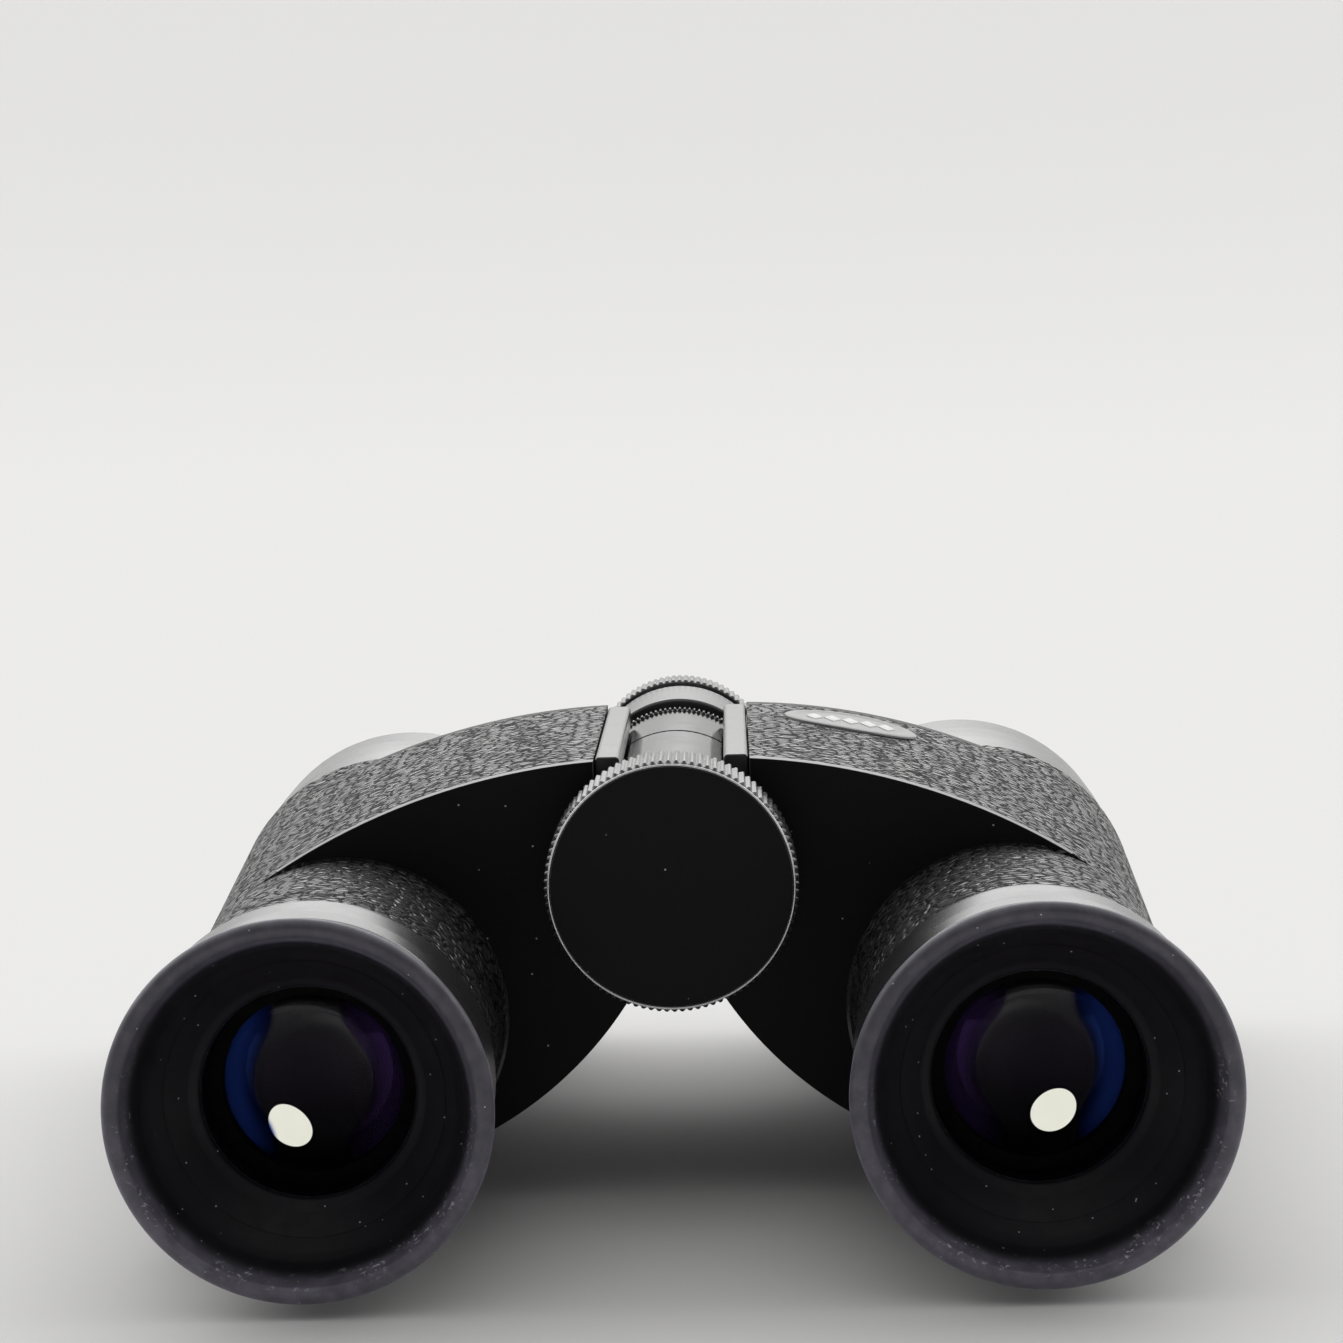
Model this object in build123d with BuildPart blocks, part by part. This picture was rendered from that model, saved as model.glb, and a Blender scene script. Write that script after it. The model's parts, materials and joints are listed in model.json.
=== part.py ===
"""Compact 8x32 roof-prism binoculars, lying on their barrels with the hinge uppermost.

Frame: +Y runs from the eyecups to the objectives, +Z is up, and the origin is under the middle of
the whole object, on the surface that it rests on. All lengths are millimetres.
Axial positions are stations: the distance from the plane of the eyecup rims, along +Y.
"""
import os
from math import asin, atan2, cos, degrees, hypot, pi, radians, sin, sqrt

from build123d import *

os.makedirs("parts", exist_ok=True)

# ---------------------------------------------------------------- driving dimensions
eye_spacing = 65.0            # between the two optical axes, as it lies
hinge_height = 15.0           # hinge axis above the optical axes
overall_length = 110.2        # eyecup rim to objective rim
bell_radius = 18.5            # objective bell at its rim, the lowest surface

grip_radius = 15.7            # leatherette tube behind the eyecup
front_radius = 18.4           # leatherette cone where it meets the bell
leather_thickness = 0.8

ring_station = 13.6           # ocular ring ends, leatherette begins
wing_start = 37.3             # ocular face of the black end plate
wing_end = 79.2               # objective face of the front end plate
bell_station = 88.6           # leatherette ends, bell begins
plate_thickness = 1.6

bore_radius = 13.0            # sliding bore of the focusing cells
running_gap = 0.05            # radial clearance of the running fits
face_gap = 0.1                # axial clearance between faces that meet

cup_lip_radius = 17.15        # rubber eyecup at its rolled lip
lip_roll = 0.9
eyepiece_radius = 9.45        # eyepiece lenses, their rings and the field stop
eye_lens_station = 13.6
field_lens_station = 22.6
lens_edge = 1.6               # thickness of an eyepiece lens at its edge
field_stop_station = 26.0
field_stop_radius = 6.5

cage_start = 38.5             # prism carrier
cage_end = 67.8
cage_wall = 1.7
prism_half_width = 7.8
prism_half_height = 8.5
roof_bevel = 5.0

bell_start = 84.7
mouth_radius = 17.2           # open mouth of the bell
glass_radius = 16.5           # objective lenses

knuckle_radius = 9.2
knuckle_clearance = 9.5
knuckle_start = 31.5
seam_station = 63.5
hinge_closing = 30.0          # degrees that the hinge closes and opens from rest
hinge_opening = 46.0
axle_radius = 6.45
axle_inner_radius = 5.2

rail_inner = 5.07             # flank rails beside the hinge cylinder
rail_outer = 7.5
rail_height = 10.06           # top of the rails above the hinge axis
rail_depth = 4.4

focus_travel = 2.5            # each way, of the carriage and both focusing cells
dioptre_travel = 1.2          # each way, of the right cell on its arm

wheel_front = 23.0
wheel_width = 7.3
wheel_radius = 11.9
wheel_ridges = 100
wheel_cap_depth = 1.0
dioptre_front = 98.0
dioptre_width = 5.2
dioptre_radius = 10.4
dioptre_ridges = 88
dioptre_shaft_radius = 2.0
collar_start = 84.0
spindle_radius = 2.5
ridge_share = 0.62            # groove width of the knurling, as a share of its pitch

# the wing's skin: arcs that start beside the hinge and run tangent into the tube
top_arc_start = (6.5, 24.96, 66.0)        # x, z and arc radius at the ocular end
top_arc_end = (6.9, 25.08, 72.0)          # the same at the objective end
lower_arc = (4.82, 1.1, 38.0)

# ---------------------------------------------------------------- places
half_spacing = eye_spacing / 2
axis_height = bell_radius
hinge_z = axis_height + hinge_height
rim_y = -overall_length / 2
arm_length = hypot(half_spacing, hinge_height)
taper = (front_radius - grip_radius) / (bell_station - wing_start)
wing_end_radius = grip_radius + taper * (wing_end - wing_start)
SIDES = {"left": -1, "right": 1}


def station_y(station):
    """Turn a station into the frame's Y."""
    return rim_y + station


def lathe_plane(side):
    """Sketch plane through one optical axis: local X is the station, local Y the radius."""
    return Plane(origin=(side * half_spacing, rim_y, axis_height), x_dir=(0, 1, 0), z_dir=(1, 0, 0))


hinge_plane = Plane(origin=(0, rim_y, hinge_z), x_dir=(0, 1, 0), z_dir=(1, 0, 0))


def section_plane(station):
    """Cross-section plane: local X is the frame's X, local Y its Z."""
    return Plane(origin=(0, station_y(station), 0), x_dir=(1, 0, 0), z_dir=(0, -1, 0))


def save(part, name):
    """Label one piece and write it."""
    part.label = name
    export_step(part, f"parts/{name}.step")


def turned(plane, points):
    """A lathe-turned piece from its half profile of (station, radius) points."""
    with BuildPart() as piece:
        with BuildSketch(plane):
            with BuildLine():
                Polyline(*points, close=True)
            make_face()
        revolve(axis=Axis(plane.origin, (0, 1, 0)))
    return piece.part


def tube(plane, start, end, outer, inner):
    """A plain ring or tube between two stations."""
    return turned(plane, [(start, inner), (start, outer), (end, outer), (end, inner)])


def rod(plane, start, end, radius):
    """A solid cylinder between two stations."""
    return turned(plane, [(start, 0), (start, radius), (end, radius), (end, 0)])


def lens(plane, start, end, radius, front_bulge, back_bulge):
    """A lens with a plain edge: a positive bulge is convex, a negative one hollow."""
    with BuildPart() as piece:
        with BuildSketch(plane):
            with BuildLine():
                front = ThreePointArc(*bulge_arc(start, radius, -front_bulge))
                edge = Line((start, radius), (end, radius))
                back = ThreePointArc(*bulge_arc(end, radius, back_bulge))
                Line(back @ 0, front @ 0)
            make_face()
        revolve(axis=Axis(plane.origin, (0, 1, 0)))
    return piece.part


def bulge_arc(station, radius, bulge):
    """Centre, halfway and edge points of a lens face that stands out by bulge at its centre."""
    curvature = (radius**2 + bulge**2) / (2 * abs(bulge))
    half = radius / 2
    drop = curvature - sqrt(curvature**2 - half**2)
    toward = 1 if bulge > 0 else -1
    return (station + bulge, 0), (station + bulge - toward * drop, half), (station, radius)


# ---------------------------------------------------------------- the wing's outline
def skin_arc(start_x, start_z, arc_radius, tube_radius, upper):
    """Centre of the arc through the start point that runs tangent into the tube.

    Coordinates are measured from the plane x = 0 and from the height of the optical axes.
    """
    dx = start_x - half_spacing
    distance = hypot(dx, start_z)
    along = ((arc_radius - tube_radius) ** 2 - arc_radius**2 + distance**2) / (2 * distance)
    across = sqrt((arc_radius - tube_radius) ** 2 - along**2)
    ux = dx / distance
    uz = start_z / distance
    centres = [
        (half_spacing + along * ux - turn * across * uz, along * uz + turn * across * ux)
        for turn in (1, -1)
    ]
    return min(centres, key=lambda c: c[1]) if upper else max(centres, key=lambda c: c[1])


def on_circle(centre, radius, angle):
    """Point on a circle, angle in degrees."""
    return centre[0] + radius * cos(radians(angle)), centre[1] + radius * sin(radians(angle))


def angle_at(centre, radius, x, half):
    """Angle in degrees where a circle passes x, in its upper (1) or lower (-1) half."""
    return degrees(atan2(half * sqrt(radius**2 - (x - centre[0]) ** 2), x - centre[0]))


def wing_outline(station, top, tube_radius, inset):
    """Closed cross-section of the left half: barrel tube and wing together."""
    axis = (half_spacing, 0)
    top_centre = skin_arc(*top, tube_radius, True)
    low_centre = skin_arc(*lower_arc, tube_radius, False)
    top_radius = top[2] - inset
    low_radius = lower_arc[2] - inset
    start_x = rail_outer + face_gap
    low_x = lower_arc[0] + inset
    start_angle = angle_at(top_centre, top_radius, start_x, 1)
    end_angle = degrees(atan2(axis[1] - top_centre[1], axis[0] - top_centre[0]))
    low_start = angle_at(low_centre, low_radius, low_x, -1)
    low_end = degrees(atan2(axis[1] - low_centre[1], axis[0] - low_centre[0]))
    inner_top = hinge_height + 4

    def place(point):
        return -point[0], point[1] + axis_height

    def arc(centre, radius, first, last):
        angles = (first, (first + last) / 2, last)
        return [place(on_circle(centre, radius, angle)) for angle in angles]

    upper = arc(top_centre, top_radius, start_angle, end_angle)
    round_barrel = arc(axis, tube_radius - inset, end_angle, low_end)
    lower = arc(low_centre, low_radius, low_end, low_start)
    inner = [lower[2], place((low_x, inner_top)), place((start_x, inner_top)), upper[0]]
    with BuildSketch(section_plane(station)) as outline:
        with BuildLine():
            ThreePointArc(*upper)
            ThreePointArc(*round_barrel)
            ThreePointArc(*lower)
            Polyline(*inner)
        make_face()
    return outline.sketch


def wing_body(inset):
    """The left half's solid: ocular tube, wing and front cone, with its surface set in by inset."""
    sections = [
        wing_outline(wing_start, top_arc_start, grip_radius, inset),
        wing_outline(wing_end, top_arc_end, wing_end_radius, inset),
    ]
    cone_end = bell_station - face_gap
    front_cone = [(wing_end, 0), (wing_end, wing_end_radius - inset),
                  (cone_end, front_radius - inset), (cone_end, 0)]
    with BuildPart() as body:
        loft(sections, ruled=True)
        add(rod(lathe_plane(-1), ring_station + face_gap, wing_start, grip_radius - inset))
        add(turned(lathe_plane(-1), front_cone))
    return body.part


def slab(start, end):
    """A block wider and taller than the object between two stations, for cutting."""
    width, height = 200, 120
    with BuildPart() as block:
        with BuildSketch(Plane.XY.offset(-height / 4)):
            with Locations((0, station_y((start + end) / 2))):
                Rectangle(width, end - start)
        extrude(amount=height)
    return block.part


# ---------------------------------------------------------------- focusing arms and their pockets
ARM_STATION = {-1: 58.0, 1: 69.0}
ARM_END = {-1: 72.95, 1: 71.5}
arm_half_width = 1.4          # along the hinge
arm_half_thickness = 1.4
pocket_half_thickness = 2.0
groove_radius = 3.8
link_inner = 19.2             # reach of the axial link, measured from the hinge axis
link_outer = 21.8
cell_start = 73.0
cell_end = 79.0
focusing_lens_radius = 11.0


def arm_plane(side):
    """Plane through the hinge axis and one optical axis: local X is the reach, local Y the frame's Y."""
    reach = Vector(side * half_spacing, 0, -hinge_height).normalized()
    return Plane(origin=(0, rim_y, hinge_z), x_dir=reach, z_dir=reach.cross(Vector(0, 1, 0)))


def arm_bar(side, boxes, half_thickness):
    """Rectangular bars in the arm plane, each (reach from, reach to, station from, station to)."""
    with BuildPart() as bar:
        with BuildSketch(arm_plane(side)):
            for inner, outer, start, end in boxes:
                with Locations(((inner + outer) / 2, (start + end) / 2)):
                    Rectangle(outer - inner, end - start)
        extrude(amount=half_thickness, both=True)
    return bar.part


def arm_pocket(side):
    """Room for the arm, its link and the cell's lug over their whole travel."""
    station = ARM_STATION[side]
    slack = focus_travel + dioptre_travel + 0.4
    arm_reach = arm_half_width + slack
    inner, outer = link_inner - 0.6, link_outer + 0.6
    boxes = [
        (axle_inner_radius - 1, outer, station - arm_reach, station + arm_reach),
        (inner, outer, station, cell_end + slack),
        (inner, arm_length - bore_radius + 1.5, cell_start - slack, cell_end + slack),
    ]
    return arm_bar(side, boxes, pocket_half_thickness)


# ---------------------------------------------------------------- body shells, plates, skins
def mirrored(part):
    """The same piece on the other half."""
    with BuildPart() as other:
        mirror(part, about=Plane.YZ)
    return other.part


def end_plate(skin, start, tube_radius):
    """A flat plate that closes the wing beside the barrel tube."""
    end = start + plate_thickness
    with BuildPart() as plate:
        add(skin)
        add(slab(start, end), mode=Mode.INTERSECT)
        add(rod(lathe_plane(-1), start - 1, end + 1, tube_radius), mode=Mode.SUBTRACT)
        add(clear_hinge, mode=Mode.SUBTRACT)
    return plate.part


def flank_rail():
    """Flat bright rail beside the hinge cylinder."""
    start = wing_start + plate_thickness + running_gap
    end = wing_end - plate_thickness - running_gap
    with BuildPart() as rail:
        with BuildSketch(section_plane(end)):
            with Locations((-(rail_inner + rail_outer) / 2, hinge_z + rail_height - rail_depth / 2)):
                Rectangle(rail_outer - rail_inner, rail_depth)
        extrude(amount=end - start)
        chamfer(rail.edges().filter_by(Axis.Y).group_by(Axis.Z)[-1], 0.25)
        add(clear_hinge, mode=Mode.SUBTRACT)
    return rail.part


def leatherette(skin, core, plates):
    """Covering between the skin and the casting, open at the plates and beside the hinge."""
    with BuildPart() as cover:
        add(skin)
        add(core, mode=Mode.SUBTRACT)
        for plate in plates:
            add(plate, mode=Mode.SUBTRACT)
        with BuildSketch(section_plane(bell_station)):
            with Locations((-(rail_outer + face_gap) / 2, hinge_z)):
                Rectangle(rail_outer + face_gap, 2 * axis_height)
        extrude(amount=bell_station - ring_station, mode=Mode.SUBTRACT)
    return cover.part


def shell(side, core, plates):
    """Cast body of one half with its own hinge knuckle, sliding bore and pocket for the arm."""
    barrel = lathe_plane(side)
    if side < 0:
        own = (knuckle_start, seam_station)
        others = (seam_station, bell_station)
    else:
        seam_end = seam_station + 1.5 * face_gap
        own = (seam_end, wing_end)
        others = (knuckle_start - 5, seam_end)
    axle_hole = axle_radius + running_gap
    with BuildPart() as casting:
        add(core)
        for plate in plates:
            add(plate, mode=Mode.SUBTRACT)
        add(rod(hinge_plane, *others, knuckle_clearance), mode=Mode.SUBTRACT)
        add(tube(hinge_plane, *own, knuckle_radius, axle_hole))
        add(rod(hinge_plane, knuckle_start - 5, bell_station, axle_hole), mode=Mode.SUBTRACT)
        add(rod(barrel, ring_station, bell_start - face_gap, bore_radius), mode=Mode.SUBTRACT)
        add(rod(barrel, bell_start - 2 * face_gap, bell_station + 1, 16.0), mode=Mode.SUBTRACT)
        add(arm_pocket(side), mode=Mode.SUBTRACT)
    return casting.part


clear_hinge = rod(hinge_plane, knuckle_start - 5, bell_station, knuckle_clearance)
skin = wing_body(0)
core = wing_body(leather_thickness)
rear_plate = end_plate(skin, wing_start, grip_radius + 0.3)
front_plate = end_plate(skin, wing_end - plate_thickness, wing_end_radius + 0.2)
body_pieces = {
    "leather": leatherette(skin, core, (rear_plate, front_plate)),
    "rear_plate": rear_plate,
    "front_plate": front_plate,
    "flank_rail": flank_rail(),
}
for piece_name, piece in body_pieces.items():
    save(piece, f"left_{piece_name}")
    save(mirrored(piece), f"right_{piece_name}")
save(shell(-1, core, (rear_plate, front_plate)), "left_shell")
save(shell(1, mirrored(core), (mirrored(rear_plate), mirrored(front_plate))), "right_shell")


# ---------------------------------------------------------------- turned pieces of one barrel
def eyecup(barrel):
    """Rubber cup: rolled lip, flared wall, and a floor ring that covers the sleeve's end."""
    lip_centre = (lip_roll, cup_lip_radius - lip_roll)
    lip_inner, lip_crest, lip_outer = (on_circle(lip_centre, lip_roll, turn) for turn in (225, 180, 90))
    with BuildPart() as cup:
        with BuildSketch(barrel):
            with BuildLine():
                lip = ThreePointArc(lip_inner, lip_crest, lip_outer)
                Polyline(lip @ 1, (5.0, 16.1), (5.0, 14.5), (8.8, 14.5), (8.8, 9.6), (7.8, 9.6), (3.4, 14.3),
                         lip @ 0)
            make_face()
        revolve(axis=Axis(barrel.origin, (0, 1, 0)))
    return cup.part


def strap_lug(side, barrel):
    """Small eye for a strap, low on the outer side of the ocular tube."""
    lug_angle, lug_end, lug_width, lug_height = -35, 24.5, 3.0, 5.2
    eye_reach, foot_reach, eye_radius = 18.4, 15.0, 1.4

    def at_reach(reach):
        """Point on the lug's line, at a distance from the optical axis."""
        across, up = on_circle((0, axis_height), reach, lug_angle)
        return side * (half_spacing + across), up

    with BuildPart() as lug:
        with BuildSketch(section_plane(lug_end)):
            with Locations(at_reach((eye_reach + foot_reach) / 2)):
                SlotCenterToCenter(eye_reach - foot_reach, lug_height, rotation=side * lug_angle)
            with Locations(at_reach(eye_reach)):
                Circle(eye_radius, mode=Mode.SUBTRACT)
        extrude(amount=lug_width)
        add(rod(barrel, lug_end - 6, lug_end + 4, grip_radius + 0.02), mode=Mode.SUBTRACT)
    return lug.part


def prism_block(side, outline, roof):
    """A glass prism from its outline in (station, height), with a roof edge on top if asked."""
    with BuildPart() as block:
        with BuildSketch(lathe_plane(side)):
            with BuildLine():
                Polyline(*outline, close=True)
            make_face()
        extrude(amount=prism_half_width, both=True)
        if roof:
            top = block.faces().sort_by(Axis.Z)[-1]
            chamfer(top.edges().filter_by(Axis.Y), roof_bevel)
    return block.part


def prism_cage(side, barrel):
    """Round carrier with a square channel for the prisms and a round window in each end wall."""
    window_radius = 7.5
    channel_start = cage_start + cage_wall
    channel_end = cage_end - cage_wall
    with BuildPart() as cage:
        add(rod(barrel, cage_start, cage_end, bore_radius - 2 * running_gap))
        with BuildSketch(section_plane(channel_end)):
            with Locations((side * half_spacing, axis_height)):
                Rectangle(2 * prism_half_width + 0.8, 2 * prism_half_height + 0.4)
        extrude(amount=channel_end - channel_start, mode=Mode.SUBTRACT)
        add(rod(barrel, cage_start - 1, cage_end + 1, window_radius), mode=Mode.SUBTRACT)
    return cage.part


def focusing_cell(side, barrel):
    """Sliding ring for the focusing lens, with the lug that its arm pushes."""
    lug = [(link_inner, arm_length - 12.0, cell_start + running_gap, cell_start + 5.0)]
    cell_inner = focusing_lens_radius + running_gap
    with BuildPart() as cell:
        add(arm_bar(side, lug, arm_half_thickness + face_gap))
        add(rod(barrel, cell_start - 1, cell_end, cell_inner + 0.4), mode=Mode.SUBTRACT)
        add(tube(barrel, cell_start - 1, cell_end, bore_radius - running_gap, cell_inner))
        add(tube(barrel, cell_start - 1, cell_start + 0.6, cell_inner + 0.4, focusing_lens_radius - 0.8))
    return cell.part


def build_barrel(name, side):
    """Everything that stands on one optical axis."""
    barrel = lathe_plane(side)
    ring = [(5.2, 14.6), (5.2, 15.8), (6.0, 16.2), (7.6, 16.2), (8.4, 16.0), (9.2, 16.2), (9.6, 16.4),
            (13.1, 16.4), (13.5, 16.1), (13.5, 13.05), (9.1, 13.05), (9.1, 14.6)]
    glass_seat = glass_radius + 0.1
    bell = [(bell_start, 15.0), (bell_start, 15.9), (88.7, 15.9), (88.7, 18.0), (89.4, 18.2),
            (102.0, bell_radius), (109.6, bell_radius), (overall_length, 18.0), (overall_length, 17.6),
            (109.8, mouth_radius), (105.4, mouth_radius), (105.4, glass_seat), (98.0, glass_seat),
            (98.0, 15.0)]
    sleeve_bore = eyepiece_radius + running_gap
    sleeve = [(9.2, sleeve_bore), (9.2, bore_radius - running_gap), (34.0, bore_radius - running_gap),
              (34.0, 11.0), (27.2, 11.0), (27.2, sleeve_bore)]
    cell_lens_start, cell_lens_end = 73.7, 76.7
    spacer_start, spacer_end = 15.7, 22.1
    roof_outline = [(63.3, prism_half_height), (46.3, -prism_half_height), (41.0, -prism_half_height),
                    (41.0, prism_half_height)]
    penta_outline = [(66.0, -prism_half_height), (66.0, prism_half_height), (64.0, prism_half_height),
                     (50.5, -5.0), (59.0, -prism_half_height)]
    station = ARM_STATION[side]
    arm = [
        (groove_radius + 0.2, link_outer, station - arm_half_width, station + arm_half_width),
        (link_inner, link_outer, station, ARM_END[side]),
    ]
    return {
        f"{name}_eyecup": eyecup(barrel),
        f"{name}_ocular_ring": turned(barrel, ring),
        f"{name}_eyepiece_sleeve": turned(barrel, sleeve),
        f"{name}_eye_lens_ring": tube(barrel, 11.4, 13.0, eyepiece_radius, 8.2),
        f"{name}_eye_lens": lens(
            barrel, eye_lens_station, eye_lens_station + lens_edge, eyepiece_radius, 1.9, 1.9),
        f"{name}_lens_spacer": tube(barrel, spacer_start, spacer_end, eyepiece_radius, 8.6),
        f"{name}_field_lens": lens(
            barrel, field_lens_station, field_lens_station + lens_edge, eyepiece_radius, 1.2, 1.2),
        f"{name}_field_stop": tube(
            barrel, field_stop_station, field_stop_station + 0.8, eyepiece_radius, field_stop_radius),
        f"{name}_prism_cage": prism_cage(side, barrel),
        f"{name}_roof_prism": prism_block(side, roof_outline, True),
        f"{name}_half_penta_prism": prism_block(side, penta_outline, False),
        f"{name}_focusing_cell": focusing_cell(side, barrel),
        f"{name}_focusing_lens": lens(
            barrel, cell_lens_start, cell_lens_end, focusing_lens_radius, -0.8, -0.6),
        f"{name}_focus_arm": arm_bar(side, arm, arm_half_thickness),
        f"{name}_objective_bell": turned(barrel, bell),
        f"{name}_objective_flint": lens(barrel, 98.2, 101.6, glass_radius, 0.4, -2.0),
        f"{name}_objective_crown": lens(barrel, 101.7, 103.2, glass_radius, 1.9, 1.8),
        f"{name}_objective_ring": tube(barrel, 103.5, 105.3, glass_radius + running_gap, 15.6),
        f"{name}_strap_lug": strap_lug(side, barrel),
    }


# ---------------------------------------------------------------- pieces on the hinge axis
def knurled_wheel(start, width, radius, ridges, bore, chamfer_size):
    """A wheel with straight ridges round its rim."""
    groove = ridge_share * pi * radius / ridges
    with BuildPart() as wheel:
        add(turned(hinge_plane, [
            (start, bore), (start, radius - chamfer_size), (start + chamfer_size, radius),
            (start + width - chamfer_size, radius), (start + width, radius - chamfer_size),
            (start + width, bore)]))
        with BuildSketch(section_plane(start + width + 0.1)):
            with Locations((0, hinge_z)):
                with PolarLocations(radius + 0.45 * groove, ridges):
                    Circle(groove)
        extrude(amount=width + 0.2, mode=Mode.SUBTRACT)
    return wheel.part


def build_centre():
    """Axle, focusing drive, hinge hardware and dioptre drive."""
    cap_recess = wheel_front + wheel_cap_depth
    cap_radius = 11.15
    wheel_bore = spindle_radius + running_gap
    with BuildPart() as focus_wheel:
        add(knurled_wheel(wheel_front, wheel_width, wheel_radius, wheel_ridges, wheel_bore, 0.45))
        add(rod(hinge_plane, wheel_front - 1, cap_recess, cap_radius + running_gap), mode=Mode.SUBTRACT)

    carriage_start, carriage_end = 52.0, 74.0
    carriage_radius = axle_inner_radius - running_gap
    half_groove = arm_half_width + 0.25
    with BuildPart() as carriage:
        add(tube(hinge_plane, carriage_start, carriage_end, carriage_radius, spindle_radius + face_gap))
        for station in ARM_STATION.values():
            groove_ends = (station - half_groove, station + half_groove)
            add(tube(hinge_plane, *groove_ends, axle_radius, groove_radius), mode=Mode.SUBTRACT)

    # the axle's windows let the arms through: a slot for the left one, and a sector for the right
    # one, which swings with its half
    half_window = arm_half_width + focus_travel + 0.4
    left, right = ARM_STATION[-1], ARM_STATION[1]
    slot = [(0, axle_radius + 1.5, left - half_window, left + half_window)]
    arm_angle = -degrees(atan2(hinge_height, half_spacing))
    arm_spread = degrees(asin(arm_half_thickness / axle_inner_radius)) + 6
    lowest = arm_angle - hinge_closing - arm_spread
    highest = arm_angle + hinge_opening + arm_spread
    with BuildPart() as axle:
        add(tube(hinge_plane, knuckle_start, dioptre_front - 2 * face_gap, axle_radius, axle_inner_radius))
        add(arm_bar(-1, slot, pocket_half_thickness), mode=Mode.SUBTRACT)
        with BuildSketch(section_plane(right + half_window)):
            with BuildLine():
                first, middle, last = (
                    on_circle((0, hinge_z), 1.5 * axle_radius, angle)
                    for angle in (lowest, (lowest + highest) / 2, highest)
                )
                Line((0, hinge_z), first)
                ThreePointArc(first, middle, last)
                Line(last, (0, hinge_z))
            make_face()
        extrude(amount=2 * half_window, mode=Mode.SUBTRACT)

    badge_x, badge_station, badge_proud = 18.6, 69.2, 0.3
    with BuildPart() as badge:
        with BuildSketch(Plane.XY):
            with Locations((-badge_x, station_y(badge_station))):
                Ellipse(7.1, 5.6)
        extrude(amount=2 * hinge_z)
        add(wing_body(-badge_proud), mode=Mode.INTERSECT)
        add(skin, mode=Mode.SUBTRACT)
        badge_top = badge.solids().sort_by(Axis.Z)[-1]

    washer_end = 80.5
    collar = [(collar_start, axle_radius), (collar_start, 9.2), (84.5, 9.6), (96.0, 9.6), (97.7, 8.8),
              (97.7, axle_radius)]
    shaft = [(79.0, 0), (79.0, dioptre_shaft_radius), (103.3, dioptre_shaft_radius), (103.3, 4.0),
             (104.6, 3.6), (104.6, 0)]
    shaft_bore = dioptre_shaft_radius + running_gap
    return {
        "focus_wheel": focus_wheel.part,
        "focus_wheel_cap": rod(hinge_plane, wheel_front - running_gap, cap_recess, cap_radius),
        "focus_spindle": rod(hinge_plane, cap_recess, 66.0, spindle_radius),
        "spindle_bush": tube(hinge_plane, 33.0, 38.0, axle_inner_radius, wheel_bore),
        "focus_carriage": carriage.part,
        "axle_tube": axle.part,
        "hinge_washer": tube(hinge_plane, wing_end + face_gap, washer_end, 9.4, axle_radius),
        "hinge_nut": tube(hinge_plane, washer_end, collar_start, 8.5, axle_radius),
        "dioptre_collar": turned(hinge_plane, collar),
        "dioptre_wheel": knurled_wheel(
            dioptre_front, dioptre_width, dioptre_radius, dioptre_ridges, shaft_bore, 0.35),
        "dioptre_shaft": turned(hinge_plane, shaft),
        "badge": mirrored(badge_top),
    }


for name, side in SIDES.items():
    for piece_name, piece in build_barrel(name, side).items():
        save(piece, piece_name)
for piece_name, piece in build_centre().items():
    save(piece, piece_name)
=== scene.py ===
"""Looks of the compact roof-prism binoculars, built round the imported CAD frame.

Lengths in this file are millimetres. A station is the distance from the plane of the eyecup rims
along +Y. Pieces are turned into the frame's metres when their meshes are made.
"""
import json
import math

import bmesh
import bpy
from mathutils import Matrix, Vector
from mathutils.bvhtree import BVHTree


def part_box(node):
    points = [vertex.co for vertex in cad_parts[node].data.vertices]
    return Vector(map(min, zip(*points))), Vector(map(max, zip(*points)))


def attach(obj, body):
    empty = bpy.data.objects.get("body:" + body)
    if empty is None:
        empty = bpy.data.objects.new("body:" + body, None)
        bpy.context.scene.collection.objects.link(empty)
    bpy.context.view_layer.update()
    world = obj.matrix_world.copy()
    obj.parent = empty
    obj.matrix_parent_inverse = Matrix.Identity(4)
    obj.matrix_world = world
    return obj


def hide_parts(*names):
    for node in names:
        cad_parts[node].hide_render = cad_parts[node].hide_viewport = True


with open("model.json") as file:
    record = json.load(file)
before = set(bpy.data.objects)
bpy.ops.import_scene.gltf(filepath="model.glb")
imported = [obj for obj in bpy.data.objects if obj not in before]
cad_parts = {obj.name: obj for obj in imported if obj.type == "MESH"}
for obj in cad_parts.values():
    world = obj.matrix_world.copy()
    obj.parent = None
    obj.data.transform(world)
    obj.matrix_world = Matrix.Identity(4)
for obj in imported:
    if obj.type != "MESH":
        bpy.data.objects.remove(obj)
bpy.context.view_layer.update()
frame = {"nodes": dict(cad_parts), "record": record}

MM = 0.001
ON_AXIS = 1e-6
SIDES = {"left": -1, "right": 1}
BODIES = frame["record"]["behaviour"]["bodies"]
BODY_OF = {node: body for body, nodes in BODIES.items() for node in nodes}
SLOT_OF = {part["node"]: part["material_slot"] for part in frame["record"]["subparts"]}
RIM_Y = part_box("left_eyecup")[0].y


def axis_of(node):
    """X and Z of a turned node's axis, in metres."""
    low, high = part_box(node)
    return (low.x + high.x) / 2, (low.z + high.z) / 2


def span(node):
    """First station, last station and largest radius of a turned node."""
    low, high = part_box(node)
    return (low.y - RIM_Y) / MM, (high.y - RIM_Y) / MM, (high.x - low.x) / 2 / MM


HINGE = axis_of("focus_wheel")
BARREL = {side: axis_of(f"{side}_objective_bell") for side in SIDES}


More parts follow.
